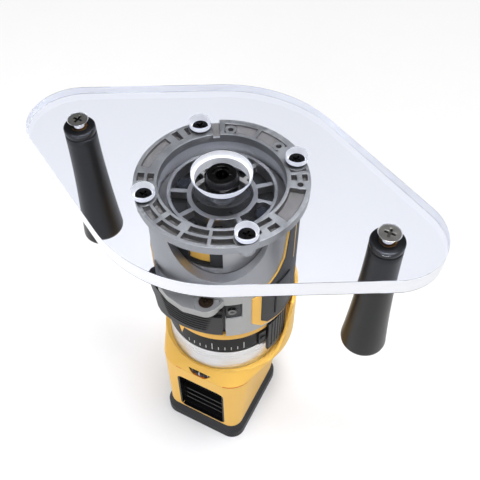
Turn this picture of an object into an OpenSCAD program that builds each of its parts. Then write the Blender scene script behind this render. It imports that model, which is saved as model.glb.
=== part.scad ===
// Cordless trim router standing on its battery foot, with a clear lozenge base plate and two handles.
// Origin: on the spindle axis, level with the bottom of the foot. +Z runs from the foot to the cutter.
// X runs along the plate's long axis, and -Y is the front, where the speed dial is.

/* [Overall] */
// Height from the bottom of the foot to the working face of the plate
total_h = 203; // [202:0.5:206]

/* [Base plate] */
// Thickness of the clear plate
plate_t = 9; // [8:0.5:10]
// Radius of the plate's middle
plate_r = 66.6; // [60:0.2:70]
// Radius of each rounded end
plate_end_r = 26; // [20:1:30]
// Distance from the spindle axis to the centre of each rounded end
plate_end_x = 84; // [78:1:92]
// Radius of the cutter hole
cutter_hole_r = 13.5; // [12:0.5:14.5]
// Radius of the rebate around the cutter hole
rebate_r = 15; // [15:0.5:17]
// Offset of the four plate screws from the axis, along X and Y
plate_screw_xy = 27.2; // [27:0.1:27.4]

/* [Handles] */
// Length of each handle below the plate
handle_h = 79.6; // [60:0.2:90]
// Radius of a handle next to the plate
handle_top_r = 8.3; // [8:0.1:9]
// Radius of a handle at its free end
handle_end_r = 12.2; // [11:0.1:14]

/* [Base housing] */
// Outer radius of the housing
housing_r = 38.5; // [38.2:0.1:38.6]
// Outer radius of its flange
flange_r = 42.9; // [42:0.1:44]
// Thickness of its flange
flange_t = 4.6; // [4.2:0.1:5]
// Radius of the opening in its flange
throat_r = 31.4; // [31:0.1:32]
// Radius of the round front window
window_r = 24; // [20:1:25]

/* [Motor] */
// Outer radius of the can where the housing slides on it
can_r = 33; // [32.8:0.1:33.1]
// Outer radius of the can below the adjusting ring
can_low_r = 34.4; // [34:0.1:34.4]
// Radius of the spindle in its front bearing
spindle_r = 6; // [5.5:0.1:6]
// Radius of the collet's bore, for quarter-inch cutters
collet_bore_r = 3.175; // [3:0.005:3.2]

/* [Head] */
// Width of the battery foot
foot_w = 56; // [54:1:58]
// Distance from the axis to the front of the foot
foot_front = 40; // [39:0.5:41]
// Distance from the axis to the back of the foot
foot_back = 22; // [21:0.5:24]
// Outer radius of the round collar
collar_r = 40.2; // [40.2:0.1:41]
// How far the collar's centre lies behind the spindle axis
collar_shift = 4.4; // [4.2:0.1:4.6]
// Height of the collar at the front
collar_front_h = 73; // [72.5:0.5:74]
// Height of the collar at the back
collar_back_h = 110; // [100:1:111]

/* [Hidden] */
$fn = 96;

// Gaps: between sliding sleeves, around shafts and pins, and the overrun of every cut
slide_gap = 0.25;
run_gap = 0.04;
over = 1;

// Heights measured down from the plate
plate_z = total_h - plate_t;
flange_z = plate_z - flange_t;
throat_z = plate_z - 9;
rim_z = plate_z - 48;
skirt_z = plate_z - 77;
accent_top_z = plate_z - 81;
ring_top_z = accent_top_z - 6;
ring_bottom_z = ring_top_z - 12.5;
bore_r = can_r + slide_gap;

// Plate and handle fasteners
screw_r = 2;
screw_hole_r = 2.1;
screw_head_r = 4;
counterbore_r = 5.6;
counterbore_h = 5.5;
handle_screw_r = 2.5;
handle_head_r = 5.2;
insert_r = 4.2;
insert_h = 14;
tangent_a = acos((plate_r - plate_end_r) / plate_end_x);

// Side grips: the recess floor, and how far the trim and the grip stand out
grip_floor_r = 36.9;
trim_r = housing_r + 0.5;
grip_r = housing_r + 0.8;
tab_low_z = skirt_z + 8;
tab_high_z = skirt_z + 31;
tab_front_y = -13;
tab_back_y = -2;
tab_in_x = 36.2;

// Clamp lever: its pivot, its band, the lug above it and the gap that it lies in
pivot_a = -75;
pivot_dist = 39.8;
pivot_r = 4.4;
lug_r = 6.6;
lever_in_r = 38.8;
lever_top_r = 41.8;
lever_out_r = 43;
lever_end_a = -63.5;
lever_tip_a = -132.5;
lever_mid_a = -95;
lever_step_z = rim_z - 4.4;
lever_foot_z = rim_z - 20.7;
lever_gap_a0 = -134;
lever_gap_a1 = -61.5;
lug_top_z = rim_z + 4.5;
lug_lip = 1.4;
pin_r = 1.8;
pin_head_r = 3.7;
pin_head_h = 2.6;
pin_foot_r = 2.5;
pin_foot_h = 0.9;
pin_foot_z = lever_foot_z - 0.1 - pin_foot_h;

// Clamp plate beside the lever, and its screw
clamp_a0 = -61;
clamp_a1 = -48.4;
clamp_h = 12;
clamp_screw_a = -56;
clamp_screw_r = 1.1;

// Motor: levels of the can, the nose and the spindle
can_bottom_z = 72;
can_step_z = ring_bottom_z - 2.2;
can_wall = 2.6;
can_top_z = 160;
can_in_r = can_r - can_wall;
nose_z = 179.5;
nose_top_z = total_h - 16.5;
spoke_h = 4.5;
spoke_w = 2.4;
rim_out_r = 27.3;
rim_in_r = 25.7;
hub_r = 17.6;
hub_in_r = 15.3;
front_bearing_r = 11;
rear_bearing_r = 8;
rear_shaft_r = 4;
spoke_angles = [11, 42, 78, 112, 146, 202, 243, 282, 322];
lens_x = 22;
lens_r = 3.9;

// Spindle, collet and nut, from the rear end up
rear_shaft_h = 25;
shaft_step_z = 98;
neck_z = 182;
neck_r = 4.7;
thread_z = 188.5;
thread_r = 6.2;
spindle_top_z = 196.5;
collet_seat_r = 4.6;
inner_bore_r = 3.9;
collet_z = 189.6;
collet_foot_z = 197.5;
collet_top_z = 200.9;
slot_w = 0.6;
nut_z = 190;
nut_cone_z = 198;
nut_top_z = 201.6;
nut_r = 9.8;
nut_edge_r = 9.2;

// Rotor, fan, stator and bearings
rotor_r = 13.5;
magnet_r = 16;
core_z = 102;
core_top_z = 138;
winding_r = 5.6;
winding_h = 7;
stator_in_r = 16.6;
fan_r = 27;
fan_z = 147;
fan_h = 8;
blade_w = 1.2;
blade_count = 13;
front_bearing_z = 162;
front_bearing_h = 9;
rear_bearing_z = 76;
rear_bearing_h = 7;
board_z = 24;
board_size = 40;
board_t = 1.6;

// Spindle lock: a button that slides towards the axis
lock_a = -83;
lock_z = 173.5;
lock_w = 10.5;
lock_h = 11.6;
lock_out_r = 30.6;
lock_in_r = 25;
lock_pin_r = 1.5;
lock_front_a = -110;
lock_back_a = -62;

// Head: levels of its shells, and their wall
shell_wall = 2.4;
split_z = 64;
overmold_h = 12;
rim_band_h = 6.4;
shoulder_z = 72;
bay_w = 41;
bay_h = 9;
collar_in_r = 38.3;
pocket_x = 1;
pocket_w = 32.5;
pocket_bottom_z = 13;
pocket_h = 40;
pocket_rim = 1.2;
pocket_depth = 9;
dial_x = 1;
dial_y = -22.2;
dial_r = 16;
dial_z = split_z + 0.5;
dial_h = 3;
pot_r = 7;
pot_z = split_z - 8;
pot_shaft_r = 2.5;
knurl_count = 36;
button_z = 40;
button_r = 7;

// Pockets in the face of the flange: first angle, last angle, inner radius, outer radius, depth
flange_pocket_list = [
    [-132, -112, 37.6, 41.2, 3.4], [-109, -91.5, 37.6, 41.2, 3.4], [-89, -71.5, 37.6, 41.2, 3.4],
    [-69, -51.5, 37.6, 41.2, 3.4], [-29, -21, 37.4, 40.6, 3.4],
    [-131, -113, 32.8, 36.2, 3.4], [-108.5, -96, 32.8, 36.2, 3.4], [-87.5, -71.5, 32.8, 36.2, 3.4],
    [-69, -52, 32.8, 36.2, 3.4], [-33.5, -21, 32.8, 35.4, 3.4],
    [-159, -151, 37.8, 41.3, 3.4], [-159, -150, 33, 36.4, 3.4], [163, 195, 36.2, 41.2, 1.8],
    [152, 157, 34.8, 41.6, 3.4], [139, 147, 35.8, 41.4, 3], [90, 116, 33, 39.8, 1.2],
    [62, 87, 33, 39.8, 1.2], [34.5, 44.5, 33.6, 41.4, 3.4], [25, 31.5, 33.4, 36.2, 3],
    [25, 31.5, 38.8, 41.4, 3], [-15, 17, 33, 40.8, 3.2]
];
// Small tapped bosses in the flange: angle and distance from the axis
flange_boss_list = [[111, 35.6], [66, 36.2], [21, 37.8], [-36, 37.7]];
boss_r = 3;
boss_hole_r = 1.5;

// ---------------------------------------------------------------- helpers

// Places its children at a distance from the axis, turned to face outwards
module polar(a, dist = 0) rotate(a) translate([dist, 0, 0]) children();

// A tube between two heights
module tube(r_out, r_in, z0, z1) translate([0, 0, z0]) difference() {
    cylinder(r = r_out, h = z1 - z0);
    translate([0, 0, -over]) cylinder(r = r_in, h = z1 - z0 + 2 * over);
}

// A pie slice between two angles and two heights, used to cut and to keep
module wedge(a0, a1, z0, z1, reach = 70) translate([0, 0, z0]) linear_extrude(z1 - z0)
    polygon(concat([[0, 0]],
        [for (i = [0:8]) let (a = a0 + (a1 - a0) * i / 8) reach * [cos(a), sin(a)]]));

// A piece of tube between two angles
module sector(a0, a1, r_in, r_out, z0, z1) intersection() {
    tube(r_out, r_in, z0, z1);
    wedge(a0, a1, z0 - over, z1 + over);
}

// A rectangle with round corners
module rounded(w, h, r) {
    square([w - 2 * r, h], center = true);
    square([w, h - 2 * r], center = true);
    for (x = [-1, 1], y = [-1, 1]) translate([x * (w / 2 - r), y * (h / 2 - r)]) circle(r = r);
}

// A thin slice of the head's outline at a height: half width, front, back, corner radius
module slice(z, half_w, front, back, r) translate([0, (back - front) / 2, z])
    linear_extrude(0.01) rounded(2 * half_w, front + back, r, $fn = 32);

// Extrudes an outline drawn in Y and Z along X, on the right side
module from_side(points) translate([20, 0, 0]) rotate([90, 0, 90]) linear_extrude(30) polygon(points);

// A cross recess for a screw head, cut downwards from its top
module cross_recess(size, depth) for (a = [0, 90]) rotate(a)
    translate([0, 0, -depth / 2]) cube([size, size / 4, depth + 0.02], center = true);

module at_plate_screws() for (x = [-1, 1], y = [-1, 1])
    translate([x * plate_screw_xy, y * plate_screw_xy, 0]) children();

module at_handles() for (x = [-1, 1]) translate([x * plate_end_x, 0, 0]) children();

// ---------------------------------------------------------------- clear plate and handles

module plate_outline() {
    c = cos(tangent_a);
    s = sin(tangent_a);
    x = plate_end_x + plate_end_r * c;
    circle(r = plate_r, $fn = 180);
    for (side = [-1, 1]) translate([side * plate_end_x, 0]) circle(r = plate_end_r);
    polygon([
        [plate_r * c, plate_r * s], [-plate_r * c, plate_r * s], [-x, plate_end_r * s],
        [-x, -plate_end_r * s], [-plate_r * c, -plate_r * s], [plate_r * c, -plate_r * s],
        [x, -plate_end_r * s], [x, plate_end_r * s]
    ]);
}

module clear_plate() color("lavender", 0.5) difference() {
    translate([0, 0, plate_z]) linear_extrude(plate_t) plate_outline();
    translate([0, 0, plate_z - over]) cylinder(r = cutter_hole_r, h = plate_t + 2 * over);
    translate([0, 0, total_h - 3.8]) cylinder(r = rebate_r, h = 3.8 + over);
    at_plate_screws() {
        translate([0, 0, plate_z - over]) cylinder(r = screw_hole_r + 0.3, h = plate_t + 2 * over);
        translate([0, 0, total_h - counterbore_h]) cylinder(r = counterbore_r, h = counterbore_h + over);
    }
    at_handles() {
        translate([0, 0, plate_z - over]) cylinder(r = handle_screw_r + 0.2, h = plate_t + 2 * over);
        translate([0, 0, total_h - 3])
            cylinder(r1 = handle_screw_r + 0.2, r2 = handle_head_r + 0.3, h = 3.01);
    }
}

module plate_screws() color("dimgray") at_plate_screws() translate([0, 0, total_h - counterbore_h])
    difference() {
        union() {
            cylinder(r = screw_head_r, h = 2.4);
            translate([0, 0, -10]) cylinder(r = screw_r, h = 10.5);
        }
        translate([0, 0, 2.4]) cross_recess(4.6, 1.5);
    }

module handle() translate([0, 0, plate_z]) difference() {
    rotate_extrude() polygon([
        [0, 0], [handle_top_r - 0.7, 0], [handle_top_r, -0.7], [handle_top_r, -3],
        [handle_top_r - 0.5, -3.4], [handle_top_r - 0.5, -4.2], [handle_top_r, -4.6],
        [handle_top_r + 0.1, -9], [handle_top_r + 0.8, -36], [handle_top_r + 2.2, -60],
        [handle_end_r - 0.2, -handle_h + 4], [handle_end_r - 1.1, -handle_h + 1.4],
        [handle_end_r - 3.6, -handle_h], [0, -handle_h]
    ]);
    translate([0, 0, -16]) cylinder(r = insert_r, h = 16 + over);
}

module handle_left() color([0.12, 0.12, 0.13]) translate([-plate_end_x, 0, 0]) handle();
module handle_right() color([0.12, 0.12, 0.13]) translate([plate_end_x, 0, 0]) handle();

module brass_inserts() color("goldenrod") at_handles()
    tube(insert_r, handle_screw_r + 0.05, plate_z - insert_h, plate_z);

module handle_screws() color("silver") at_handles() translate([0, 0, total_h]) difference() {
    union() {
        translate([0, 0, -3]) cylinder(r1 = handle_screw_r, r2 = handle_head_r, h = 2.8);
        translate([0, 0, -20]) cylinder(r = handle_screw_r, h = 17.5);
    }
    translate([0, 0, -0.2]) cross_recess(5.4, 1.8);
}

// ---------------------------------------------------------------- base housing

// Outline of one side grip in Y and Z, shrunk by an inset for the part inside the trim
function grip_outline(i) = [
    [24 - i, plate_z - 8], [-4 + i, plate_z - 8], [-5.5 + i, plate_z - 14], [-8 + i, plate_z - 31],
    [-12 + i, plate_z - 38 + i / 2], [-17 + i, plate_z - 43 + i / 2], [-25 + 3.4 * i, plate_z - 46.5],
    [-25 + 3.4 * i, plate_z - 69], [-20.5 + 2.6 * i, plate_z - 74.5 + i], [-6, plate_z - 76.5 + i],
    [24 - i, plate_z - 76.5 + i]
];

module grip_shape(inset, r_in, r_out) intersection() {
    tube(r_out, r_in, skirt_z, throat_z + 2);
    from_side(grip_outline(inset));
}

// The tab's outline, grown by a gap for the pocket that it slides in
module tab_block(gap, x0, x1) translate([x0, tab_front_y - gap, tab_low_z - gap])
    cube([x1 - x0, tab_back_y - tab_front_y + 2 * gap, tab_high_z - tab_low_z + 2 * gap]);

module flange_pockets() difference() {
    for (p = flange_pocket_list) sector(p[0], p[1], p[2], p[3], plate_z - p[4], plate_z + over);
    for (b = flange_boss_list) polar(b[0], b[1]) translate([0, 0, flange_z]) cylinder(r = boss_r, h = 8);
    at_plate_screws() translate([0, 0, flange_z]) cylinder(r = counterbore_r + 0.6, h = 8);
}

module front_window() intersection() {
    translate([0, 0, throat_z + 1]) rotate([90, 0, 0]) rotate([0, 23.5, 0])
        cylinder(r = window_r, h = housing_r + 10);
    translate([0, 0, rim_z]) cylinder(r = 60, h = throat_z - rim_z);
}

// The lug's outline, shrunk by an inset for the sunk floor inside its lip
// Each row of lug_circles is an angle, a distance from the axis and a radius
lug_circles = [[pivot_a, pivot_dist, lug_r], [-88, 40.4, 6.2], [-100, 40, 5.4], [-110, 39.4, 4.8],
    [-126, 35.6, 4], [-62, 32.4, 4]];
module lug_outline(inset) hull()
    for (c = lug_circles) polar(c[0], c[1]) circle(r = c[2] - inset, $fn = 32);

module base_housing() color("silver") difference() {
    union() {
        difference() {
            translate([0, 0, skirt_z]) cylinder(r = housing_r, h = flange_z - skirt_z + 1);
            wedge(lever_gap_a0, lever_gap_a1, skirt_z - over, rim_z);
            wedge(lever_gap_a1 - 1, clamp_a1 + 0.3, rim_z - clamp_h - 0.2, rim_z);
        }
        translate([0, 0, flange_z]) cylinder(r = flange_r, h = flange_t);
        translate([0, 0, rim_z]) linear_extrude(lug_top_z - rim_z) lug_outline(0);
        at_plate_screws() translate([0, 0, flange_z - 4]) cylinder(r = 4.2, h = 5);
    }
    difference() {
        translate([0, 0, lug_top_z - lug_lip]) linear_extrude(lug_lip + over) lug_outline(lug_lip);
        cylinder(r = housing_r, h = total_h);
        polar(pivot_a, pivot_dist) cylinder(r = lug_r - 0.4, h = total_h);
    }
    translate([0, 0, skirt_z - over]) cylinder(r = bore_r, h = throat_z - skirt_z + over);
    translate([0, 0, skirt_z]) cylinder(r = throat_r, h = plate_z - skirt_z + over);
    front_window();
    for (side = [0, 1]) mirror([side, 0, 0]) {
        grip_shape(0, grip_floor_r, housing_r + over);
        tab_block(0.3, 30, housing_r + over);
    }
    flange_pockets();
    sector(120, 126.5, throat_r - over, flange_r + over, plate_z - 2, plate_z + over);
    for (b = flange_boss_list) polar(b[0], b[1])
        translate([0, 0, flange_z - over]) cylinder(r = boss_hole_r, h = flange_t + 2 * over);
    at_plate_screws() translate([0, 0, flange_z - 6]) cylinder(r = screw_hole_r, h = 12);
    polar(pivot_a, pivot_dist) {
        translate([0, 0, rim_z]) cylinder(r = pin_r + 0.02, h = lug_top_z - rim_z + over);
        translate([0, 0, lug_top_z - pin_head_h]) cylinder(r = pin_head_r + 0.2, h = pin_head_h + over);
    }
}

module grip(side) mirror([side, 0, 0]) difference() {
    grip_shape(1.2, grip_floor_r, grip_r);
    tab_block(0.3, 30, housing_r + 5);
    translate([30, 2.2, plate_z - 41]) cube([20, 1, 34]);
}

module grip_trim(side) mirror([side, 0, 0]) {
    difference() {
        grip_shape(0, grip_floor_r, trim_r);
        intersection() {
            tube(trim_r + over, grip_floor_r - over, skirt_z - over, throat_z + 4);
            from_side(grip_outline(1.2));
        }
    }
    intersection() {
        tube(grip_r, grip_floor_r, skirt_z, throat_z + 1);
        translate([30, 2.2, plate_z - 41]) cube([20, 1, 33 - over]);
    }
}

module grip_left() color([0.2, 0.2, 0.21]) grip(1);
module grip_right() color([0.2, 0.2, 0.21]) grip(0);
module grip_trim_left() color("orange") grip_trim(1);
module grip_trim_right() color("orange") grip_trim(0);

// The release tab is pushed straight in, towards the axis
module release_tab(side) mirror([side, 0, 0]) intersection() {
    tab_block(0, tab_in_x, housing_r + 5);
    tube(grip_r + 0.7, 30, skirt_z, throat_z);
}

module release_tab_left() color([0.13, 0.13, 0.14]) release_tab(1);
module release_tab_right() color([0.13, 0.13, 0.14]) release_tab(0);

// ---------------------------------------------------------------- clamp

module clamp_plate() color([0.15, 0.15, 0.16]) difference() {
    sector(clamp_a0, clamp_a1, bore_r + 0.4, housing_r - 0.6, rim_z - clamp_h, rim_z - 0.2);
    polar(clamp_screw_a) translate([0, 0, rim_z - clamp_h / 2]) rotate([0, 90, 0])
        cylinder(r = clamp_screw_r + 0.1, h = 60);
}

module clamp_plate_screw() color([0.2, 0.2, 0.2]) polar(clamp_screw_a)
    translate([bore_r + 0.5, 0, rim_z - clamp_h / 2]) rotate([0, 90, 0]) difference() {
        shank_h = housing_r - bore_r - 1;
        union() {
            cylinder(r = clamp_screw_r, h = shank_h);
            translate([0, 0, shank_h - 0.05]) cylinder(r = 2 * clamp_screw_r, h = 0.9);
        }
        translate([0, 0, shank_h + 0.85]) cross_recess(2.4, 0.6);
    }

module lever_pin() color([0.25, 0.25, 0.26]) polar(pivot_a, pivot_dist) difference() {
    union() {
        translate([0, 0, pin_foot_z]) cylinder(r = pin_r, h = lug_top_z - pin_foot_z - 1);
        translate([0, 0, lug_top_z - pin_head_h]) cylinder(r = pin_head_r, h = pin_head_h - 0.4);
        translate([0, 0, pin_foot_z]) cylinder(r = pin_foot_r, h = pin_foot_h);
    }
    translate([0, 0, lug_top_z - 0.4]) cross_recess(4, 1.2);
}

// Outline of the lever's band, drawn along its arc and in Z, seen from its middle
lever_outline = [
    [30, rim_z - 0.4], [-12, rim_z - 0.4], [-19, rim_z - 1.5], [-25, rim_z - 4], [-25, rim_z - 12.5],
    [-20.4, rim_z - 14.6], [-18.4, rim_z - 22.6], [-15.6, rim_z - 24], [-8, rim_z - 22.4],
    [6, lever_foot_z - 0.1], [9, lever_foot_z], [30, lever_foot_z]
];

module clamp_lever() color([0.15, 0.15, 0.16]) difference() {
    intersection() {
        union() {
            difference() {
                intersection() {
                    wedge(lever_tip_a, lever_end_a, rim_z - 30, rim_z);
                    rotate(lever_mid_a) translate([20, 0, 0]) rotate([90, 0, 90])
                        linear_extrude(30) polygon(lever_outline);
                }
                cylinder(r = lever_in_r, h = total_h);
            }
            polar(pivot_a, pivot_dist) translate([0, 0, lever_foot_z + 0.2])
                cylinder(r = pivot_r, h = rim_z - 0.8 - lever_foot_z);
        }
        union() {
            cylinder(r = lever_out_r, h = lever_step_z);
            cylinder(r = lever_top_r, h = rim_z);
        }
    }
    polar(pivot_a, pivot_dist) cylinder(r = pin_r + run_gap, h = total_h);
}

// ---------------------------------------------------------------- depth adjusting ring

module adjusting_ring() color([0.14, 0.14, 0.15])
    tube(can_low_r + 0.5, bore_r, ring_bottom_z, ring_top_z);

module ring_accent() color("orange") rotate_extrude() polygon([
    [bore_r, ring_top_z], [can_low_r + 0.5, ring_top_z], [can_low_r + 1.1, ring_top_z + 1],
    [can_low_r + 1.1, accent_top_z - 1], [can_low_r + 0.5, accent_top_z], [bore_r, accent_top_z]
]);

module ring_lug() color([0.3, 0.3, 0.31]) difference() {
    sector(-22, 5, can_low_r + 0.5, 37.5, ring_bottom_z - 9, accent_top_z - 1);
    tube(can_low_r + 1.3, 30, ring_bottom_z - 10, ring_bottom_z);
    tube(can_low_r + 1.1, 30, ring_top_z, accent_top_z);
    for (a = [-18:4:2]) polar(a, 37.5) translate([0, 0, ring_bottom_z - 6]) cylinder(r = 0.6, h = 24);
}

module ring_clip() color([0.12, 0.12, 0.13]) {
    sector(-31, -23.5, can_low_r + 0.5, 36.3, ring_bottom_z + 0.5, ring_top_z - 0.5);
    polar(-27, 36.2) translate([0, 0, ring_bottom_z + 6]) rotate([0, 90, 0]) cylinder(r = 1.7, h = 0.7);
}

// ---------------------------------------------------------------- motor and nose

module motor_can() color("gainsboro") {
    tube(can_low_r, can_in_r, can_bottom_z, can_step_z);
    tube(can_r, can_in_r, can_step_z, can_top_z);
}

module nose_cap() color("silver") difference() {
    union() {
        tube(can_r, can_in_r, can_top_z, nose_z);
        rotate_extrude() polygon([
            [rim_in_r, nose_z], [can_r, nose_z], [rim_out_r, nose_z + 5],
            [rim_out_r, nose_top_z], [rim_in_r, nose_top_z]
        ]);
        tube(hub_r, front_bearing_r, can_top_z, nose_z);
        tube(hub_r, hub_in_r, nose_z, nose_z + spoke_h);
        tube(can_in_r, hub_r, can_top_z, can_top_z + 3);
        for (a = spoke_angles) polar(a) translate([hub_r - 0.5, -spoke_w / 2, nose_z])
            cube([rim_in_r - hub_r + 1, spoke_w, spoke_h]);
    }
    wedge(lock_front_a, lock_back_a, 166, nose_z, 60);
    for (x = [-1, 1]) translate([x * lens_x, 0, nose_z - over]) cylinder(r = lens_r + 0.05, h = 8);
    polar(lock_a) translate([5, 0, lock_z]) rotate([0, 90, 0]) cylinder(r = lock_pin_r + 0.2, h = 40);
}

module lock_clearance(z0, z1) polar(lock_a) translate([hub_r - 4, -7.5, z0]) cube([24, 15, z1 - z0]);

module nose_shield() color([0.1, 0.1, 0.1]) difference() {
    tube(can_in_r - 0.1, hub_r, 172, nose_z - 2);
    for (x = [-1, 1]) translate([x * lens_x, 0, 171]) cylinder(r = lens_r, h = 10);
    lock_clearance(171, 180);
}

module bearing_cover() color([0.08, 0.08, 0.08]) difference() {
    tube(hub_in_r, spindle_r + 0.4, nose_z, nose_z + 2);
    for (a = [45:90:315]) polar(a, 12) translate([0, 0, nose_z + 1]) cylinder(r = 1.4, h = 2);
}

module led_board() color("darkgreen") difference() {
    tube(can_in_r - 0.1, hub_r, 170, 171.6);
    lock_clearance(169, 173);
}

module led_lenses() color([0.25, 0.27, 0.3]) for (x = [-1, 1]) translate([x * lens_x, 0, 171.6]) {
    cylinder(r = lens_r, h = 9);
    translate([0, 0, 9]) cylinder(r1 = lens_r, r2 = lens_r - 1.4, h = 1.2);
}

// ---------------------------------------------------------------- spindle lock

module lock_block(gap, r0, r1) polar(lock_a) translate([r0, -lock_w / 2 - gap, lock_z - lock_h / 2 - gap])
    cube([r1 - r0, lock_w + 2 * gap, lock_h + 2 * gap]);

module lock_shroud() color([0.15, 0.15, 0.16]) difference() {
    sector(lock_front_a, lock_back_a, can_in_r, can_in_r + 1.8, 166, nose_z);
    lock_block(0.3, 20, 40);
}

module lock_button() color("orange") intersection() {
    lock_block(0, lock_in_r, 40);
    cylinder(r = lock_out_r, h = total_h);
}

module lock_pin() color("silver") polar(lock_a) translate([7.5, 0, lock_z]) rotate([0, 90, 0])
    cylinder(r = lock_pin_r, h = lock_in_r - 7.5);

module lock_spring() color("silver") polar(lock_a) translate([hub_r + 0.4, 0, lock_z]) rotate([0, 90, 0])
    for (i = [0:4]) translate([0, 0, 0.35 + 0.71 * i])
        rotate_extrude($fn = 32) translate([2.4, 0]) circle(r = 0.35, $fn = 16);

// ---------------------------------------------------------------- spindle, collet and rotor

module spindle() color("silver") difference() {
    union() {
        translate([0, 0, can_bottom_z + 3]) cylinder(r = rear_shaft_r, h = rear_shaft_h);
        translate([0, 0, shaft_step_z]) cylinder(r = spindle_r, h = neck_z - shaft_step_z);
        translate([0, 0, neck_z]) cylinder(r = neck_r, h = thread_z + over - neck_z);
        translate([0, 0, thread_z]) cylinder(r = thread_r, h = spindle_top_z - thread_z);
    }
    translate([0, 0, neck_z - 4]) cylinder(r = inner_bore_r, h = 20);
    translate([0, 0, collet_z - 0.1]) cylinder(r = collet_seat_r, h = 10);
    polar(lock_a) translate([-10, 0, lock_z]) rotate([0, 90, 0]) cylinder(r = lock_pin_r + 0.3, h = 20);
}

module collet() color([0.3, 0.3, 0.32]) difference() {
    union() {
        translate([0, 0, collet_z]) cylinder(r = collet_seat_r - 0.05, h = collet_foot_z + 0.1 - collet_z);
        translate([0, 0, collet_foot_z]) cylinder(r = collet_seat_r + 0.25, h = collet_top_z - collet_foot_z);
    }
    translate([0, 0, collet_z - over]) cylinder(r = collet_bore_r, h = 15);
    for (a = [0, 90]) rotate(a + 20) translate([-6, -slot_w / 2, collet_z + 4.4]) cube([12, slot_w, 10]);
}

module collet_nut() color([0.12, 0.12, 0.13]) difference() {
    union() {
        intersection() {
            translate([0, 0, nut_z]) cylinder(r = nut_r, h = nut_cone_z - nut_z, $fn = 6);
            translate([0, 0, nut_z]) cylinder(r = nut_edge_r, h = nut_cone_z - nut_z);
        }
        translate([0, 0, nut_cone_z]) cylinder(r1 = nut_edge_r - 1, r2 = nut_edge_r - 2, h = nut_top_z - nut_cone_z);
    }
    translate([0, 0, nut_z - over]) cylinder(r = thread_r + run_gap, h = collet_foot_z - nut_z + 0.7);
    translate([0, 0, nut_z - over]) cylinder(r = collet_seat_r + 0.3, h = 15);
}

module rotor_core() color("slategray") tube(rotor_r, spindle_r, core_z, core_top_z);
module rotor_magnets() color([0.35, 0.35, 0.38]) for (a = [0:90:270])
    sector(a + 2, a + 88, rotor_r, magnet_r, core_z + 2, core_top_z - 2);

module fan() color([0.2, 0.2, 0.2]) {
    tube(fan_r / 3, spindle_r, fan_z, fan_z + fan_h);
    tube(fan_r, spindle_r, fan_z, fan_z + 1.5);
    for (i = [1:blade_count]) polar(i * 360 / blade_count)
        translate([12, -blade_w / 2, fan_z + 1]) cube([fan_r - 13, blade_w, fan_h - 1]);
}

module stator_core() color("slategray") difference() {
    tube(can_in_r, stator_in_r, core_z + 2, core_top_z - 2);
    for (a = [0:60:300]) polar(a, 23) translate([0, 0, core_z]) cylinder(r = 4, h = 40);
}

module windings() color("peru") for (a = [30:60:330], z = [core_z + 2 - winding_h, core_top_z - 2])
    polar(a, 23.4) translate([0, 0, z]) cylinder(r = winding_r, h = winding_h);

module front_bearing() color("silver")
    tube(front_bearing_r, spindle_r + run_gap, front_bearing_z, front_bearing_z + front_bearing_h);
module rear_bearing() color("silver")
    tube(rear_bearing_r, rear_shaft_r + run_gap, rear_bearing_z, rear_bearing_z + rear_bearing_h);

module end_bell() color([0.25, 0.25, 0.26]) difference() {
    union() {
        tube(can_in_r, rear_bearing_r, can_bottom_z + 2, can_bottom_z + 6);
        tube(rear_bearing_r + 3, rear_bearing_r, can_bottom_z + 6, rear_bearing_z + rear_bearing_h);
    }
    for (a = [0:60:300]) polar(a, 21) translate([0, 0, can_bottom_z + 1]) cylinder(r = 4.5, h = 6);
}

// ---------------------------------------------------------------- head

// Head outline between the foot and the split, and from the split up to the collar
module lower_body() hull() {
    slice(overmold_h, foot_w / 2 - 2, foot_front - 2, foot_back - 2, 8);
    slice(split_z - 0.01, 30, 38.5, 40, 16);
}

// The space inside the lower shell, whose back leans with the outside
module lower_cavity() intersection() {
    translate([0, 0.4, overmold_h - over]) linear_extrude(split_z - overmold_h + 2 * over)
        rounded(46, 72, 13);
    translate([-23, 0, 0]) rotate([90, 0, 90]) linear_extrude(46) polygon([
        [2.4 - foot_front + 2, overmold_h - over], [foot_back - 5.4, overmold_h - over],
        [36.4, split_z + over], [2.4 - foot_front + 2, split_z + over]
    ]);
}

module upper_body(inset) hull() {
    slice(split_z - (inset > 0 ? over : 0), 30 - inset, 38.5 - inset, 40 - inset, 16 - inset);
    translate([0, collar_shift, shoulder_z - inset]) cylinder(r = collar_r - inset, h = 0.01, $fn = 64);
}

// Everything in front of the collar's rising edge, drawn in Y and Z
module collar_front_cut() translate([-60, 0, 0]) rotate([90, 0, 90]) linear_extrude(120) polygon([
    [-60, collar_front_h], [-12, collar_front_h], [-6, collar_front_h + 4], [-1, collar_front_h + 11],
    [4, collar_back_h - 14], [8, collar_back_h - 3], [12, collar_back_h], [12, 130], [-60, 130]
]);

module head_upper() color("orange") difference() {
    union() {
        upper_body(0);
        translate([0, collar_shift, shoulder_z]) cylinder(r = collar_r, h = collar_back_h - shoulder_z);
    }
    upper_body(shell_wall);
    translate([0, 0, split_z]) cylinder(r = can_in_r - 1, h = 12);
    translate([0, 0, can_bottom_z]) cylinder(r = can_low_r, h = 60);
    translate([0, collar_shift, can_bottom_z + 2]) cylinder(r = collar_in_r, h = 60);
    collar_front_cut();
    translate([dial_x, dial_y, split_z - over]) cylinder(r = dial_r + 0.6, h = dial_h + over + 1);
}

module head_lower() color("orange") difference() {
    lower_body();
    lower_cavity();
    translate([pocket_x, 0, pocket_bottom_z + pocket_h / 2]) rotate([90, 0, 0])
        linear_extrude(60) rounded(pocket_w, pocket_h, 4);
    translate([0, 15, button_z]) rotate([-90, 0, 0]) cylinder(r = button_r + 0.3, h = 40);
}

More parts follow.
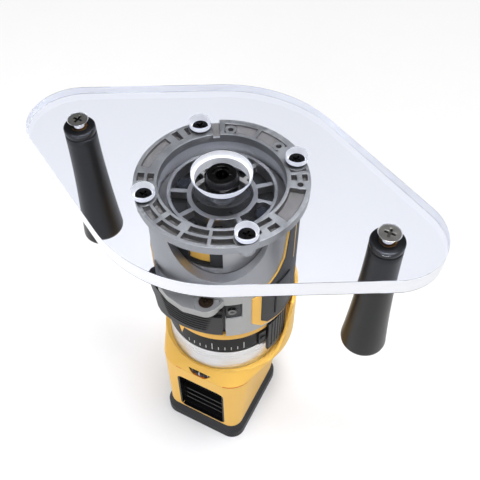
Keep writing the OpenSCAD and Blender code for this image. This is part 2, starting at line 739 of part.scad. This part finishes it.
// Floor of the latch pocket from its top edge down, drawn in Y and Z: a slope, three ribs and a lip
latch_floor = [
    [0.8, 38.6], [3.8, 35.5], [6, 31], [7.2, 25.5], [7.2, 19.5], [4.4, 17.6], [4.2, 16.4], [6.8, 14.4],
    [4, 12.4], [3.8, 11.2], [6.4, 9.2], [3.6, 7.2], [3.4, 6], [5, 4.4], [2, 2.4], [1.8, 1]
];

// The liner is a tray with a sloping, ribbed floor, set in the front of the lower shell
module latch_pocket() color([0.08, 0.08, 0.08]) translate([pocket_x, 2 - foot_front, pocket_bottom_z])
    difference() {
        translate([0, pocket_depth, pocket_h / 2]) rotate([90, 0, 0])
            linear_extrude(pocket_depth) rounded(pocket_w, pocket_h, 4);
        translate([-pocket_w / 2 + pocket_rim, 0, 0]) rotate([90, 0, 90])
            linear_extrude(pocket_w - 2 * pocket_rim)
            polygon(concat(latch_floor, [[-20, 1], [-20, 38.6]]));
    }

module speed_dial() color([0.15, 0.15, 0.16]) translate([dial_x, dial_y, dial_z]) difference() {
    cylinder(r = dial_r, h = dial_h);
    translate([0, 0, -over]) cylinder(r = pot_shaft_r + run_gap, h = dial_h + 2 * over);
    for (i = [1:knurl_count]) polar(i * 360 / knurl_count, dial_r + 0.4) translate([0, 0, -over])
        cylinder(r = 0.9, h = dial_h + 2 * over, $fn = 16);
}

module dial_pot() color([0.3, 0.3, 0.35]) translate([dial_x, dial_y, 0]) {
    translate([0, 0, pot_z]) cylinder(r = pot_r, h = 8);
    translate([0, 0, pot_z]) cylinder(r = pot_shaft_r, h = 13);
}

module power_button() color([0.15, 0.15, 0.16]) translate([0, 24, button_z]) rotate([-90, 0, 0]) {
    cylinder(r = button_r, h = 11.5);
    translate([0, 0, 11.5]) cylinder(r1 = button_r, r2 = button_r - 1, h = 1);
}

module foot_overmold() color([0.17, 0.17, 0.18]) difference() {
    hull() {
        translate([0, (foot_back - foot_front) / 2, 0]) linear_extrude(rim_band_h)
            rounded(foot_w, foot_front + foot_back, 9, $fn = 32);
        slice(overmold_h - 0.01, foot_w / 2 - 2, foot_front - 2, foot_back - 2, 8);
    }
    translate([0, (foot_back - foot_front) / 2, -over]) linear_extrude(overmold_h + 2 * over)
        rounded(foot_w - 7, foot_front + foot_back - 7, 5);
    translate([-bay_w / 2, foot_back - 12, -over]) cube([bay_w, 20, bay_h + over]);
}

module battery_rails() color([0.12, 0.12, 0.13]) difference() {
    translate([0, (foot_back - foot_front) / 2, 0.6]) linear_extrude(overmold_h - 0.6)
        rounded(foot_w - 7, foot_front + foot_back - 7, 5);
    translate([-bay_w / 2, -30, -over]) cube([bay_w, 70, bay_h + over]);
    at_foot_screws() {
        translate([0, 0, -over]) cylinder(r = 1.95, h = 4.05 + over);
        cylinder(r = 1.05, h = 11.1);
    }
}

module terminal_block() color([0.15, 0.15, 0.16]) translate([-13, -24, 4]) difference() {
    cube([26, 14, 5]);
    for (i = [0:4]) translate([2.2 + 4.8 * i, 4, -over]) cube([2.4, 12, 4]);
}

module terminals() color("goldenrod") for (i = [0:4])
    translate([-13 + 3 + 4.8 * i, -19, 3.2]) cube([0.8, 11, 3.8]);

module controller_board() color("darkgreen")
    translate([-board_size / 2, -24, board_z]) cube([board_size, board_size, board_t]);
module capacitor() color([0.2, 0.2, 0.3]) translate([10, 6, board_z + board_t]) cylinder(r = 5, h = 16);

module at_foot_screws() for (x = [-1, 1], y = [-31, 13]) translate([22 * x, y, 0]) children();

module foot_screws() color("silver") at_foot_screws() {
    translate([0, 0, 2]) cylinder(r = 1.9, h = 2);
    translate([0, 0, 2]) cylinder(r = 1, h = 9);
}

clear_plate();
plate_screws();
handle_left();
handle_right();
handle_screws();
brass_inserts();
base_housing();
grip_left();
grip_right();
grip_trim_left();
grip_trim_right();
clamp_plate();
clamp_plate_screw();
lever_pin();
clamp_lever();
release_tab_left();
release_tab_right();
adjusting_ring();
ring_accent();
ring_lug();
ring_clip();
motor_can();
nose_cap();
nose_shield();
bearing_cover();
led_board();
led_lenses();
lock_shroud();
lock_button();
lock_pin();
lock_spring();
spindle();
collet();
collet_nut();
rotor_core();
rotor_magnets();
fan();
stator_core();
windings();
front_bearing();
rear_bearing();
end_bell();
head_upper();
head_lower();
latch_pocket();
speed_dial();
dial_pot();
power_button();
foot_overmold();
battery_rails();
terminal_block();
terminals();
controller_board();
capacitor();
foot_screws();
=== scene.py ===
"""A compact cordless trim router that stands upside down on its battery foot. Its clear
lozenge-shaped base plate is on top, with a black turned handle under each end of it."""
import math

import bmesh
import bpy
from mathutils import Matrix, Vector


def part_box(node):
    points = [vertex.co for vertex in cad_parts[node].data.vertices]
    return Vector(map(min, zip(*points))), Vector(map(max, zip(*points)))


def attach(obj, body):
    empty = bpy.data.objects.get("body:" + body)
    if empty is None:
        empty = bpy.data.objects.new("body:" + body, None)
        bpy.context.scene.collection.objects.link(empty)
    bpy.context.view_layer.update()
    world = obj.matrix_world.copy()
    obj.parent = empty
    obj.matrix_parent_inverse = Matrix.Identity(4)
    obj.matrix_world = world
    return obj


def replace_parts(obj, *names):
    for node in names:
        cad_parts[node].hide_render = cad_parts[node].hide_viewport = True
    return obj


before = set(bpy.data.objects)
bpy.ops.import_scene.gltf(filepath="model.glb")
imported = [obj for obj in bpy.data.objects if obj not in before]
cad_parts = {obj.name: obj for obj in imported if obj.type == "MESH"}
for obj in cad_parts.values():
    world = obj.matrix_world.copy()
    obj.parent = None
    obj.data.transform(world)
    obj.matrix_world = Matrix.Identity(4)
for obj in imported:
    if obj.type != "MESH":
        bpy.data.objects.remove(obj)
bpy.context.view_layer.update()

# ---- Studio -------------------------------------------------------------------------------
# A white sweep of board under large soft lights, as for a catalogue. The camera stands above
# the front right corner and looks down on the plate.

MM = 0.001
camera_azimuth = math.radians(27.43)
camera_elevation = math.radians(50.42)
camera_roll = math.radians(-0.27)
camera_place = Vector((112.65, -198.47, 427.45)) * MM

eye = bpy.data.objects.new("camera", bpy.data.cameras.new("camera"))
eye.data.lens = 50.1
eye.data.sensor_width = 36
eye.data.clip_start = 0.01
eye.matrix_world = (
    Matrix.Translation(camera_place)
    @ Matrix.Rotation(camera_azimuth, 4, "Z")
    @ Matrix.Rotation(math.pi / 2 - camera_elevation, 4, "X")
    @ Matrix.Rotation(camera_roll, 4, "Z")
)
bpy.context.scene.collection.objects.link(eye)
bpy.context.scene.camera = eye
bpy.context.scene.view_settings.view_transform = "Standard"

sky = bpy.data.worlds.new("studio")
sky.use_nodes = True
sky.node_tree.nodes["Background"].inputs["Color"].default_value = (1, 1, 1, 1)
sky.node_tree.nodes["Background"].inputs["Strength"].default_value = 0.1
bpy.context.scene.world = sky

lamp_aim = Vector((0, 0, 0.1))


def soft_light(name, place, width, height, power):
    lamp = bpy.data.objects.new(name, bpy.data.lights.new(name, "AREA"))
    lamp.data.shape = "RECTANGLE"
    lamp.data.size = width
    lamp.data.size_y = height
    lamp.data.energy = power
    lamp.location = place
    lamp.rotation_euler = (lamp_aim - Vector(place)).to_track_quat("-Z", "Y").to_euler()
    bpy.context.scene.collection.objects.link(lamp)


soft_light("overhead_box", (0.26, 0.12, 2.2), width=1.0, height=1.0, power=49)
soft_light("left_box", (-0.9, -0.45, 0.55), width=0.3, height=0.7, power=3)
soft_light("front_box", (0.25, -0.95, 0.45), width=0.25, height=0.5, power=2)


class Wire:
    """One output of a material's nodes. Sums on it add Math nodes."""

    def __init__(self, tree, socket=None):
        self.tree = tree
        self.socket = socket

    def node(self, kind, settings=None, sockets=None, out=0):
        """Adds a node: its settings first, then its sockets' values or links."""
        made = self.tree.nodes.new("ShaderNode" + kind)
        for key, value in (settings or {}).items():
            setattr(made, key, value)
        for key, value in (sockets or {}).items():
            if isinstance(value, Wire):
                self.tree.links.new(value.socket, made.inputs[key])
            else:
                made.inputs[key].default_value = value
        return Wire(self.tree, made.outputs[out])

    def math(self, operation, first, second=0.0):
        return self.node("Math", {"operation": operation}, {0: first, 1: second})

    def __add__(self, other):
        return self.math("ADD", self, other)

    __radd__ = __add__

    def __sub__(self, other):
        return self.math("SUBTRACT", self, other)

    def __rsub__(self, other):
        return self.math("SUBTRACT", other, self)

    def __mul__(self, other):
        return self.math("MULTIPLY", self, other)

    __rmul__ = __mul__

    def __gt__(self, other):
        return self.math("GREATER_THAN", self, other)

    def __lt__(self, other):
        return self.math("LESS_THAN", self, other)

    def clamp(self):
        return self.node("Clamp", None, {"Value": self})

    def blend(self, first, second):
        """Mixes two colours, with this wire as the factor."""
        return self.node("Mix", {"data_type": "RGBA"}, {0: self, 6: first, 7: second}, 2)

    def part(self, index):
        """One coordinate of a vector, in millimetres."""
        return self.node("SeparateXYZ", None, {0: self}, index) * (1 / MM)


def start_material(name):
    """An empty material and a wire that carries object coordinates, in metres."""
    material = bpy.data.materials.new(name)
    material.use_nodes = True
    material.node_tree.nodes.clear()
    return material, Wire(material.node_tree).node("TexCoord", None, None, "Object")


def end_material(material, shader):
    output = material.node_tree.nodes.new("ShaderNodeOutputMaterial")
    material.node_tree.links.new(shader.socket, output.inputs["Surface"])
    return material


def grain(where, size, detail=2.0, stretch=(1, 1, 1)):
    """Noise from 0 to 1 whose spots are about this many millimetres across."""
    if stretch != (1, 1, 1):
        where = where.node("VectorMath", {"operation": "MULTIPLY"}, {0: where, 1: stretch})
    return where.node("TexNoise", None, {"Vector": where, "Scale": 1 / (size * MM), "Detail": detail})


board_reach = 3


def sweep_board():
    material, where = start_material("sweep_board")
    tone = grain(where, 40).blend((0.7, 0.7, 0.7, 1), (0.71, 0.71, 0.71, 1))
    return end_material(material, where.node("BsdfPrincipled", None, {
        "Base Color": tone,
        "Roughness": 0.8,
        "Specular IOR Level": 0.1,
        "Emission Color": tone,
        "Emission Strength": 0.3,
    }))


board = bmesh.new()
bmesh.ops.create_grid(board, x_segments=1, y_segments=1, size=board_reach)
floor = bpy.data.objects.new("floor", bpy.data.meshes.new("floor"))
board.to_mesh(floor.data)
board.free()
floor.data.materials.append(sweep_board())
bpy.context.scene.collection.objects.link(floor)

# ---- Clear plate --------------------------------------------------------------------------
# Cast acrylic, 9 mm thick, with polished faces. The saw-cut and drilled walls are frosted and carry a
# painted glow, and four screws and the two handles hold it.

plate_low, plate_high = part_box("clear_plate")
face_edge = 0.3


def bumped(height, depth, edge=0.0):
    """A normal raised by a height from 0 to 1, this many millimetres deep, with soft edges."""
    sockets = {"Height": height, "Strength": 1.0, "Distance": depth * MM}
    if edge:
        sockets["Normal"] = height.node("Bevel", {"samples": 6}, {"Radius": edge * MM})
    return height.node("Bump", None, sockets)


def dress(material, *nodes):
    """Gives CAD nodes a finish."""
    for node in nodes:
        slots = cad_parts[node].data.materials
        slots.clear()
        slots.append(material)


def clear_acrylic():
    material, where = start_material("clear_acrylic")
    height = where.part(2)
    cut_wall = (height > plate_low.z / MM + face_edge) * (height < plate_high.z / MM - face_edge)
    glass = where.node("BsdfPrincipled", None, {
        "Base Color": (0.87, 0.9, 0.985, 1),
        "Roughness": 0.015,
        "IOR": 1.49,
        "Transmission Weight": 1.0,
        "Normal": bumped(grain(where, 0.6, 3), 0.0004),
    })
    clear = where.node("BsdfTransparent", None, {"Color": (0.86, 0.87, 0.9, 1)})
    shadow = where.node("LightPath", None, None, "Is Shadow Ray")
    face = where.node("MixShader", None, {0: shadow, 1: glass, 2: clear})
    frosted_glowing_wall = where.node("BsdfPrincipled", None, {
        "Base Color": grain(where, 2, 3).blend((0.88, 0.9, 0.96, 1), (0.95, 0.96, 1.0, 1)),
        "Roughness": 0.35,
        "Subsurface Weight": 0.3,
        "Subsurface Radius": (0.004, 0.004, 0.005),
        # Painted glow: the frosted walls give off a faint bluish light of their own, though they are no
        # lamp.
        "Emission Color": (0.85, 0.88, 1.0, 1),
        "Emission Strength": 0.22,
        "Normal": bumped(grain(where, 0.5, 3), 0.02),
    })
    return end_material(material, where.node("MixShader", None, {0: cut_wall, 1: face, 2: frosted_glowing_wall}))


dress(clear_acrylic(), "clear_plate")

# ---- Plate screws -------------------------------------------------------------------------
# Four pan-head machine screws with cross recesses, in steel blackened with oxide. They are
# sunk in counterbores and hold the plate to the flange.


def metal(name, colour, roughness, spot=1.5, depth=0.02, wear=0.12, edge=0.25):
    """A solid metal whose tone and roughness vary in small spots, with a cast or rubbed skin."""
    material, where = start_material(name)
    cloud = grain(where, spot * 8, 4)
    dark = tuple(c * (1 - wear) for c in colour[:3]) + (1,)
    return end_material(material, where.node("BsdfPrincipled", None, {
        "Base Color": cloud.blend(dark, colour),
        "Metallic": 1.0,
        "Roughness": (roughness + (cloud - 0.5) * 0.25).clamp(),
        "Normal": bumped(grain(where, spot, 3), depth, edge),
    }))


black_oxide = metal("black_oxide", (0.03, 0.03, 0.032, 1), 0.3, spot=0.8, depth=0.01, wear=0.2)
dress(black_oxide, "plate_screws")

# ---- Handles ------------------------------------------------------------------------------
# Turned from a hard black resin and buffed, with a groove at the neck and a slow flare to the
# end. Each has a brass insert, and a nickel countersunk screw comes through the plate.

handle_x = 84.0
handle_length = 79.6
neck_r = 8.3
groove_length = 4.9
flare = 3.75
flare_length = 71.3
flare_curve = 1.7
flare_steps = 24
# Each pair is an inset from the end's radius and a height above the end.
end_round = ((-0.03, 2.6), (0.15, 1.7), (0.6, 0.9), (1.3, 0.35), (2.25, 0.08), (3.45, 0), (7.05, 0))
hole_r = 4.25
hole_depth = 15
recess_r = 2.75
recess_drop = 0.32


def piece(name, mesh, material, body, crease=30):
    """Makes an object of a mesh, in millimetres, and fixes it to a body."""
    bmesh.ops.scale(mesh, vec=(MM, MM, MM), verts=mesh.verts)
    bmesh.ops.recalc_face_normals(mesh, faces=mesh.faces)
    made = bpy.data.objects.new(name, bpy.data.meshes.new(name))
    mesh.to_mesh(made.data)
    mesh.free()
    made.data.shade_smooth()
    made.data.set_sharp_from_angle(angle=math.radians(crease))
    made.data.materials.append(material)
    bpy.context.scene.collection.objects.link(made)
    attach(made, body)
    return made


def turned_form(profile, centre, steps=72):
    """A closed lathe form from radius and height pairs, about a vertical axis."""
    mesh = bmesh.new()
    rings = []
    for radius, height in profile:
        rings.append([
            mesh.verts.new((
                centre[0] + radius * math.cos(i * math.tau / steps),
                centre[1] + radius * math.sin(i * math.tau / steps),
                height,
            ))
            for i in range(steps)
        ])
    for upper, lower in zip(rings, rings[1:]):
        for i in range(steps):
            mesh.faces.new((upper[i - 1], upper[i], lower[i], lower[i - 1]))
    mesh.faces.new(rings[0])
    mesh.faces.new(rings[-1])
    return mesh


def handle_profile():
    """Radius and height pairs, from the insert's hole over the groove and the flare to the end."""
    rows = [
        (hole_r, -hole_depth),
        (hole_r, 0),
        (neck_r - 0.7, 0),
        (neck_r - 0.2, -0.2),
        (neck_r, -0.7),
        (neck_r, -2.8),
        (neck_r - 0.15, -3.1),
        (neck_r - 0.6, -3.35),
        (neck_r - 0.6, -4.2),
        (neck_r - 0.15, -4.5),
        (neck_r, -groove_length),
    ]
    for i in range(1, flare_steps + 1):
        along = i / flare_steps
        rows.append((neck_r + flare * along ** flare_curve, -groove_length - flare_length * along))
    end_r = neck_r + flare
    for inset, rise in end_round:
        rows.append((end_r - inset, rise - handle_length))
    return [(radius, plate_low.z / MM + height) for radius, height in rows]


def buffed_resin():
    material, where = start_material("buffed_resin")
    scratch = grain(where, 3, 4, (1, 1, 14))
    smudge = grain(where, 22, 3)
    return end_material(material, where.node("BsdfPrincipled", None, {
        "Base Color": smudge.blend((0.006, 0.006, 0.007, 1), (0.01, 0.01, 0.011, 1)),
        "Roughness": (0.2 + smudge * 0.16 + scratch * 0.08).clamp(),
        "Specular IOR Level": 0.3,
        "Normal": bumped(scratch, 0.006),
    }))


resin = buffed_resin()
for side, label in ((-1, "left"), (1, "right")):
    body = turned_form(handle_profile(), (side * handle_x, 0))
    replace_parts(piece("handle_turned_" + label, body, resin, "base"), "handle_" + label)


def nickel_screw():
    """Bright nickel, with painted shade inside the cross recess."""
    material, where = start_material("nickel_screw")
    x = where.node("Math", {"operation": "ABSOLUTE"}, {0: where.part(0)}) - handle_x
    y = where.part(1)
    reach = x * x + y * y
    # Painted shade: the inside of the cross recess, deeper than its rim, is painted dark brown-grey and
    # made rougher.
    recess_shade = (reach < recess_r ** 2) * (where.part(2) < plate_high.z / MM - recess_drop)
    cloud = grain(where, 3, 4)
    nickel = cloud.blend((0.75, 0.74, 0.71, 1), (0.9, 0.89, 0.87, 1))
    return end_material(material, where.node("BsdfPrincipled", None, {
        "Base Color": recess_shade.blend(nickel, (0.1, 0.095, 0.09, 1)),
        "Metallic": 1.0,
        "Roughness": (0.16 + cloud * 0.14 + recess_shade * 0.2).clamp(),
        "Normal": bumped(grain(where, 0.5, 3), 0.006, 0.2),
    }))


dress(nickel_screw(), "handle_screws")
brass = metal("brass", (0.83, 0.58, 0.24, 1), 0.28)
dress(brass, "brass_inserts")

# ---- Base housing -------------------------------------------------------------------------
# An aluminium die casting in satin silver, bored for the motor and faced where the plate sits.
# The flange's pockets keep their dull cast skin. The bore and the window's walls are bright.

flange_face = plate_low.z / MM
flange_thickness = 4.6
flange_bottom = flange_face - flange_thickness
pocket_from_r = 32.4
pocket_to_r = 42.4
skirt_r = 38.3


def satin_casting():
    material, where = start_material("satin_casting")
    x, y, z = (where.part(i) for i in range(3))
    reach = x * x + y * y
    ring = (reach > pocket_from_r ** 2) * (reach < pocket_to_r ** 2)
    pocket = (z > flange_bottom + 0.5) * (z < flange_face - 0.25) * ring
    faced = z > flange_face - 0.2
    bright = (reach < skirt_r ** 2) * (z < flange_bottom) * (1 - pocket)
    cloud = grain(where, 9, 4)
    skin = grain(where, 0.8, 3)
    silver = cloud.blend((0.34, 0.34, 0.34, 1), (0.42, 0.42, 0.418, 1))
    machined = grain(where, 1.2, 3).blend((0.58, 0.575, 0.55, 1), (0.76, 0.755, 0.73, 1))
    dull = skin.blend((0.1, 0.09, 0.078, 1), (0.2, 0.185, 0.165, 1))
    wall = bright.blend(silver, (0.68, 0.68, 0.69, 1))
    return end_material(material, where.node("BsdfPrincipled", None, {
        "Base Color": pocket.blend(faced.blend(wall, machined), dull),
        "Metallic": 1.0 - pocket * 0.5,
        "Roughness": (0.42 + (cloud - 0.5) * 0.2 + pocket * 0.2 + bright * 0.12 - faced * 0.08).clamp(),
        "Normal": bumped(skin, 0.03, 0.35),
    }))


dress(satin_casting(), "base_housing")

# ---- Side grips ---------------------------------------------------------------------------
# Charcoal rubber pads, overmoulded in recesses on both sides, each with a thin yellow edge.
# A release tab slides in through each pad.

yellow = (1.0, 0.56, 0.085, 1)


def plastic(name, colour, roughness, pit=0.35, depth=0.012, edge=0.4, gloss=0.35):
    """Moulded plastic with a fine spark-eroded texture."""
    material, where = start_material(name)
    cloud = grain(where, 14, 3)
    dark = tuple(c * 0.9 for c in colour[:3]) + (1,)
    return end_material(material, where.node("BsdfPrincipled", None, {
        "Base Color": cloud.blend(dark, colour),
        "Roughness": (roughness + (cloud - 0.5) * 0.14).clamp(),
        "Specular IOR Level": gloss,
        "Normal": bumped(grain(where, pit, 2), depth, edge),
    }))


rubber = plastic("charcoal_rubber", (0.03, 0.03, 0.031, 1), 0.55, pit=0.5, depth=0.04)
dress(rubber, "grip_left", "grip_right")
yellow_edge = plastic("yellow_edge", yellow, 0.42)
dress(yellow_edge, "grip_trim_left", "grip_trim_right")
black_nylon = plastic("black_nylon", (0.01, 0.01, 0.011, 1), 0.36, gloss=0.2)
dress(black_nylon, "release_tab_left", "release_tab_right")

# ---- Clamp lever --------------------------------------------------------------------------
# A glass-filled nylon lever wraps around the front left and squeezes the split housing. Its
# outside is matt, with fine ribs along it for the fingers, and its top edge is smooth and black.

lever_r = 43.0
smooth_height = 4.0
lever_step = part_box("clamp_lever")[1].z / MM - smooth_height
rib_rows = 6
rib_drop = 2.0
rib_pitch = 2.2
rib_height = 0.4
rib_half_width = 0.45
rib_from = -70
rib_sweep = 44
rib_steps = 40
row_shift = 0.8
row_shortening = 2


def lever_ribs():
    """Low ribs that fade out at both ends. Each lower one is a little shorter."""
    mesh = bmesh.new()
    for row in range(rib_rows):
        last = None
        level = lever_step - rib_drop - row * rib_pitch
        for i in range(rib_steps + 1):
            along = i / rib_steps
            sweep = rib_sweep - row * row_shortening
            angle = math.radians(rib_from - row * row_shift - sweep * along)
            rise = rib_height * min(1.0, 4 * math.sin(math.pi * along))
            section = []
            for out, up in ((-0.3, -1.0), (rise, -0.6), (rise, 0.6), (-0.3, 1.0)):
                x = (lever_r + out) * math.cos(angle)
                y = (lever_r + out) * math.sin(angle)
                section.append(mesh.verts.new((x, y, level + up * rib_half_width)))
            if last:
                for k in range(4):
                    mesh.faces.new((last[k - 1], last[k], section[k], section[k - 1]))
            else:
                mesh.faces.new(section)
            last = section
        mesh.faces.new(last)
    return mesh


def lever_nylon():
    material, where = start_material("lever_nylon")
    matt = where.part(2) < lever_step - 0.3
    cloud = grain(where, 9, 3)
    charcoal = cloud.blend((0.026, 0.026, 0.028, 1), (0.04, 0.04, 0.043, 1))
    return end_material(material, where.node("BsdfPrincipled", None, {
        "Base Color": matt.blend((0.004, 0.004, 0.005, 1), charcoal),
        "Roughness": (0.32 + cloud * 0.1 + matt * 0.1).clamp(),
        "Specular IOR Level": 0.3,
        "Normal": bumped(grain(where, 0.5, 2), 0.02, 0.3),
    }))


lever_finish = lever_nylon()
piece("lever_ribs", lever_ribs(), lever_finish, "lever")
dress(lever_finish, "clamp_lever", "clamp_plate")
dress(metal("browned_steel", (0.1, 0.065, 0.045, 1), 0.4, spot=0.6, wear=0.5), "lever_pin")
dark_steel = metal("dark_steel", (0.2, 0.2, 0.2, 1), 0.3, spot=0.8, depth=0.01, wear=0.3)
dress(dark_steel, "clamp_plate_screw")

# ---- Depth adjusting ring -----------------------------------------------------------------
# A gloss black ring printed with white depth marks and a yellow arrow, under a yellow band,
# turns on the can's thread. A ribbed lug and a clip on its right give the thumb a hold.

ring_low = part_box("adjusting_ring")[0].z / MM
mark_step = 6
mark_half = 0.055
mark_foot = 1.2
mark_top = 4.2
long_mark_every = 5
long_mark_rise = 3.2
marks_from = -100
marks_to = -44
arrow_at = -108
arrow_tip = 4


def marked_ring():
    material, where = start_material("marked_ring")
    x, y, z = (where.part(i) for i in range(3))
    turn = where.math("ARCTAN2", y, x) * (180 / math.pi)
    step = turn * (1 / mark_step)
    near = where.math("ABSOLUTE", where.math("FRACT", step, 0) - 0.5)
    fifth = where.math("FRACT", step * (1 / long_mark_every), 0)
    long_step = where.math("ABSOLUTE", fifth - 0.5) < 0.1
    tall = z < (ring_low + mark_top + long_step * long_mark_rise)
    mark = (near < mark_half) * tall * (z > ring_low + mark_foot)
    mark = mark * (turn > marks_from) * (turn < marks_to)
    arrow = where.math("ABSOLUTE", turn - arrow_at) < ((z - (ring_low + arrow_tip)) * 0.5)
    cloud = grain(where, 12, 3)
    ground = arrow.blend(cloud.blend((0.004, 0.004, 0.005, 1), (0.008, 0.008, 0.009, 1)), yellow)
    return end_material(material, where.node("BsdfPrincipled", None, {
        "Base Color": mark.blend(ground, (0.8, 0.8, 0.78, 1)),
        "Roughness": (0.3 + cloud * 0.1 + mark * 0.15).clamp(),
        "Specular IOR Level": 0.12,
        "Normal": bumped(grain(where, 0.6, 2), 0.004, 0.3),
    }))


dress(marked_ring(), "adjusting_ring")
dress(plastic("yellow_shell", yellow, 0.42), "ring_accent")
dress(black_nylon, "ring_lug", "ring_clip")

# ---- Motor can ----------------------------------------------------------------------------
# Drawn aluminium, turned bright on a lathe, so fine lines run around it. The part that slides in the
# housing
# carries painted shade: it is near black and less metallic.

slide_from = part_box("ring_accent")[1].z / MM


def turned_can():
    material, where = start_material("turned_can")
    lines = grain(where, 0.9, 3, (0.02, 0.02, 1))
    rings = grain(where, 5, 2, (0.02, 0.02, 1))
    # Painted shade: above the top of the yellow band, inside the housing, the can is painted near
    # black, less metallic and rougher.
    housed_shade = where.part(2) > slide_from
    bare = rings.blend((0.56, 0.56, 0.575, 1), (0.74, 0.74, 0.75, 1))
    return end_material(material, where.node("BsdfPrincipled", None, {
        "Base Color": housed_shade.blend(bare, (0.03, 0.03, 0.03, 1)),
        "Metallic": 1.0 - housed_shade * 0.6,
        "Roughness": (0.2 + rings * 0.12 + lines * 0.06 + housed_shade * 0.2).clamp(),
        "Normal": bumped(lines, 0.02, 0.25),
    }))


dress(turned_can(), "motor_can")

# ---- Nose of the motor --------------------------------------------------------------------
# The cast nose closes the can with spokes around the front bearing's hub. Two lamps sit between
# the spokes over a black shield, and the yellow spindle lock shows in the window.

dress(metal("cast_nose", (0.5, 0.49, 0.475, 1), 0.36, spot=0.9, depth=0.03, wear=0.25), "nose_cap")
dress(plastic("dark_shield", (0.006, 0.006, 0.006, 1), 0.4), "nose_shield", "bearing_cover")
dress(black_nylon, "lock_shroud")
dress(yellow_edge, "lock_button")
lens = plastic("dark_lens", (0.012, 0.013, 0.017, 1), 0.16, pit=0.6, depth=0.004, edge=0.3, gloss=0.3)
dress(lens, "led_lenses")

# ---- Spindle and collet -------------------------------------------------------------------
# A ground steel spindle carries a split collet and a black oxide nut. The lock's pin and its
# spring, beside it, are of the same steel.

steel = metal("ground_steel", (0.66, 0.66, 0.665, 1), 0.16, spot=0.8, depth=0.004, wear=0.1)
dress(steel, "spindle", "lock_pin", "lock_spring")
oxide = metal("oiled_oxide", (0.05, 0.05, 0.053, 1), 0.24, spot=0.6, depth=0.008, wear=0.3, edge=0.4)
dress(oxide, "collet", "collet_nut")

# ---- Head ---------------------------------------------------------------------------------
# Two yellow moulded shells carry the electronics and clip together along a hairline above the
# pocket. The joint's deeper colour shows in two short places at the front.

joint_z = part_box("head_lower")[1].z / MM
joint_half = 0.05
dash_half = 0.3
dash_front = -22
left_dash = (-15, -11)
right_dash_from = 17


def head_shell():
    material, where = start_material("head_shell")
    x, y, z = (where.part(i) for i in range(3))
    dash = (x > left_dash[0]) * (x < left_dash[1]) + (x > right_dash_from)
    half = dash * (y < dash_front) * dash_half + joint_half
    seam = (z > joint_z - half) * (z < joint_z + half)
    cloud = grain(where, 30, 3)
    pits = grain(where, 0.4, 2)
    clean = cloud.blend((0.98, 0.56, 0.1, 1), (1.0, 0.61, 0.13, 1))
    return end_material(material, where.node("BsdfPrincipled", None, {
        "Base Color": seam.blend(clean, (0.85, 0.2, 0.012, 1)),
        "Roughness": (0.4 + (cloud - 0.5) * 0.1 + pits * 0.06).clamp(),
        "Specular IOR Level": 0.25,
        "Normal": bumped(pits, 0.01, 0.8),
    }))


dress(head_shell(), "head_upper", "head_lower")
pocket_black = plastic("pocket_black", (0.003, 0.003, 0.004, 1), 0.22, pit=0.5, depth=0.006, gloss=0.25)
dress(pocket_black, "latch_pocket")
dress(black_nylon, "power_button")

# ---- Speed dial ---------------------------------------------------------------------------
# A moulded black thumb wheel with a scalloped edge, marked in white. It turns the potentiometer
# and shows through a slit in the head.

dial_centre = (1.0, -22.2)
dial_r = 16
dial_step = 20
dial_mark_half = 0.07
dial_mark_length = 1.4


def marked_dial():
    material, where = start_material("marked_dial")
    x = where.part(0) - dial_centre[0]
    y = where.part(1) - dial_centre[1]
    turn = where.math("ARCTAN2", y, x) * (180 / math.pi)
    near = where.math("ABSOLUTE", where.math("FRACT", turn * (1 / dial_step), 0) - 0.5)
    mark = (near < dial_mark_half) * (x * x + y * y > (dial_r - dial_mark_length) ** 2)
    cloud = grain(where, 6, 3)
    black = cloud.blend((0.006, 0.006, 0.007, 1), (0.012, 0.012, 0.013, 1))
    return end_material(material, where.node("BsdfPrincipled", None, {
        "Base Color": mark.blend(black, (0.75, 0.75, 0.73, 1)),
        "Roughness": (0.34 + cloud * 0.1).clamp(),
        "Normal": bumped(grain(where, 0.4, 2), 0.01, 0.3),
    }))


dress(marked_dial(), "speed_dial")

# ---- Foot ---------------------------------------------------------------------------------
# A black elastomer band around the foot, with a paler matt slope above it. The battery's rails
# are moulded inside, with the contacts between them.

band_top = 6.4


def foot_rubber():
    material, where = start_material("foot_rubber")
    slope = where.part(2) > band_top
    cloud = grain(where, 10, 3)
    paler = cloud.blend((0.035, 0.036, 0.04, 1), (0.05, 0.051, 0.055, 1))
    return end_material(material, where.node("BsdfPrincipled", None, {
        "Base Color": slope.blend((0.006, 0.006, 0.007, 1), paler),
        "Roughness": (0.35 + cloud * 0.1 + slope * 0.2).clamp(),
        "Specular IOR Level": 0.14,
        "Normal": bumped(grain(where, 0.45, 2), 0.025, 0.5),
    }))


dress(foot_rubber(), "foot_overmold")
dress(black_nylon, "battery_rails", "terminal_block")
dress(brass, "terminals")
dress(metal("zinc_plate", (0.6, 0.6, 0.58, 1), 0.3), "foot_screws")

# ---- Motor and electronics inside ---------------------------------------------------------
# A brushless motor: laminated steel, copper coils, magnets, a nylon fan and two ball bearings,
# with its controller and the dial's potentiometer below it.

dress(black_nylon, "fan", "end_bell", "dial_pot")
laminations = metal("lamination_steel", (0.22, 0.22, 0.23, 1), 0.4, spot=0.7, depth=0.03, wear=0.25)
dress(laminations, "rotor_core", "stator_core")
dress(metal("magnet", (0.3, 0.3, 0.31, 1), 0.3, spot=0.8, depth=0.01, wear=0.2), "rotor_magnets")
races = metal("bearing_steel", (0.62, 0.62, 0.63, 1), 0.18, spot=0.8, depth=0.004, wear=0.1)
dress(races, "front_bearing", "rear_bearing")
dress(metal("copper_wire", (0.7, 0.32, 0.14, 1), 0.3, spot=0.5, depth=0.05, wear=0.3), "windings")
dress(plastic("board_green", (0.02, 0.12, 0.05, 1), 0.35), "led_board", "controller_board")
dress(metal("capacitor_can", (0.55, 0.55, 0.57, 1), 0.3), "capacitor")
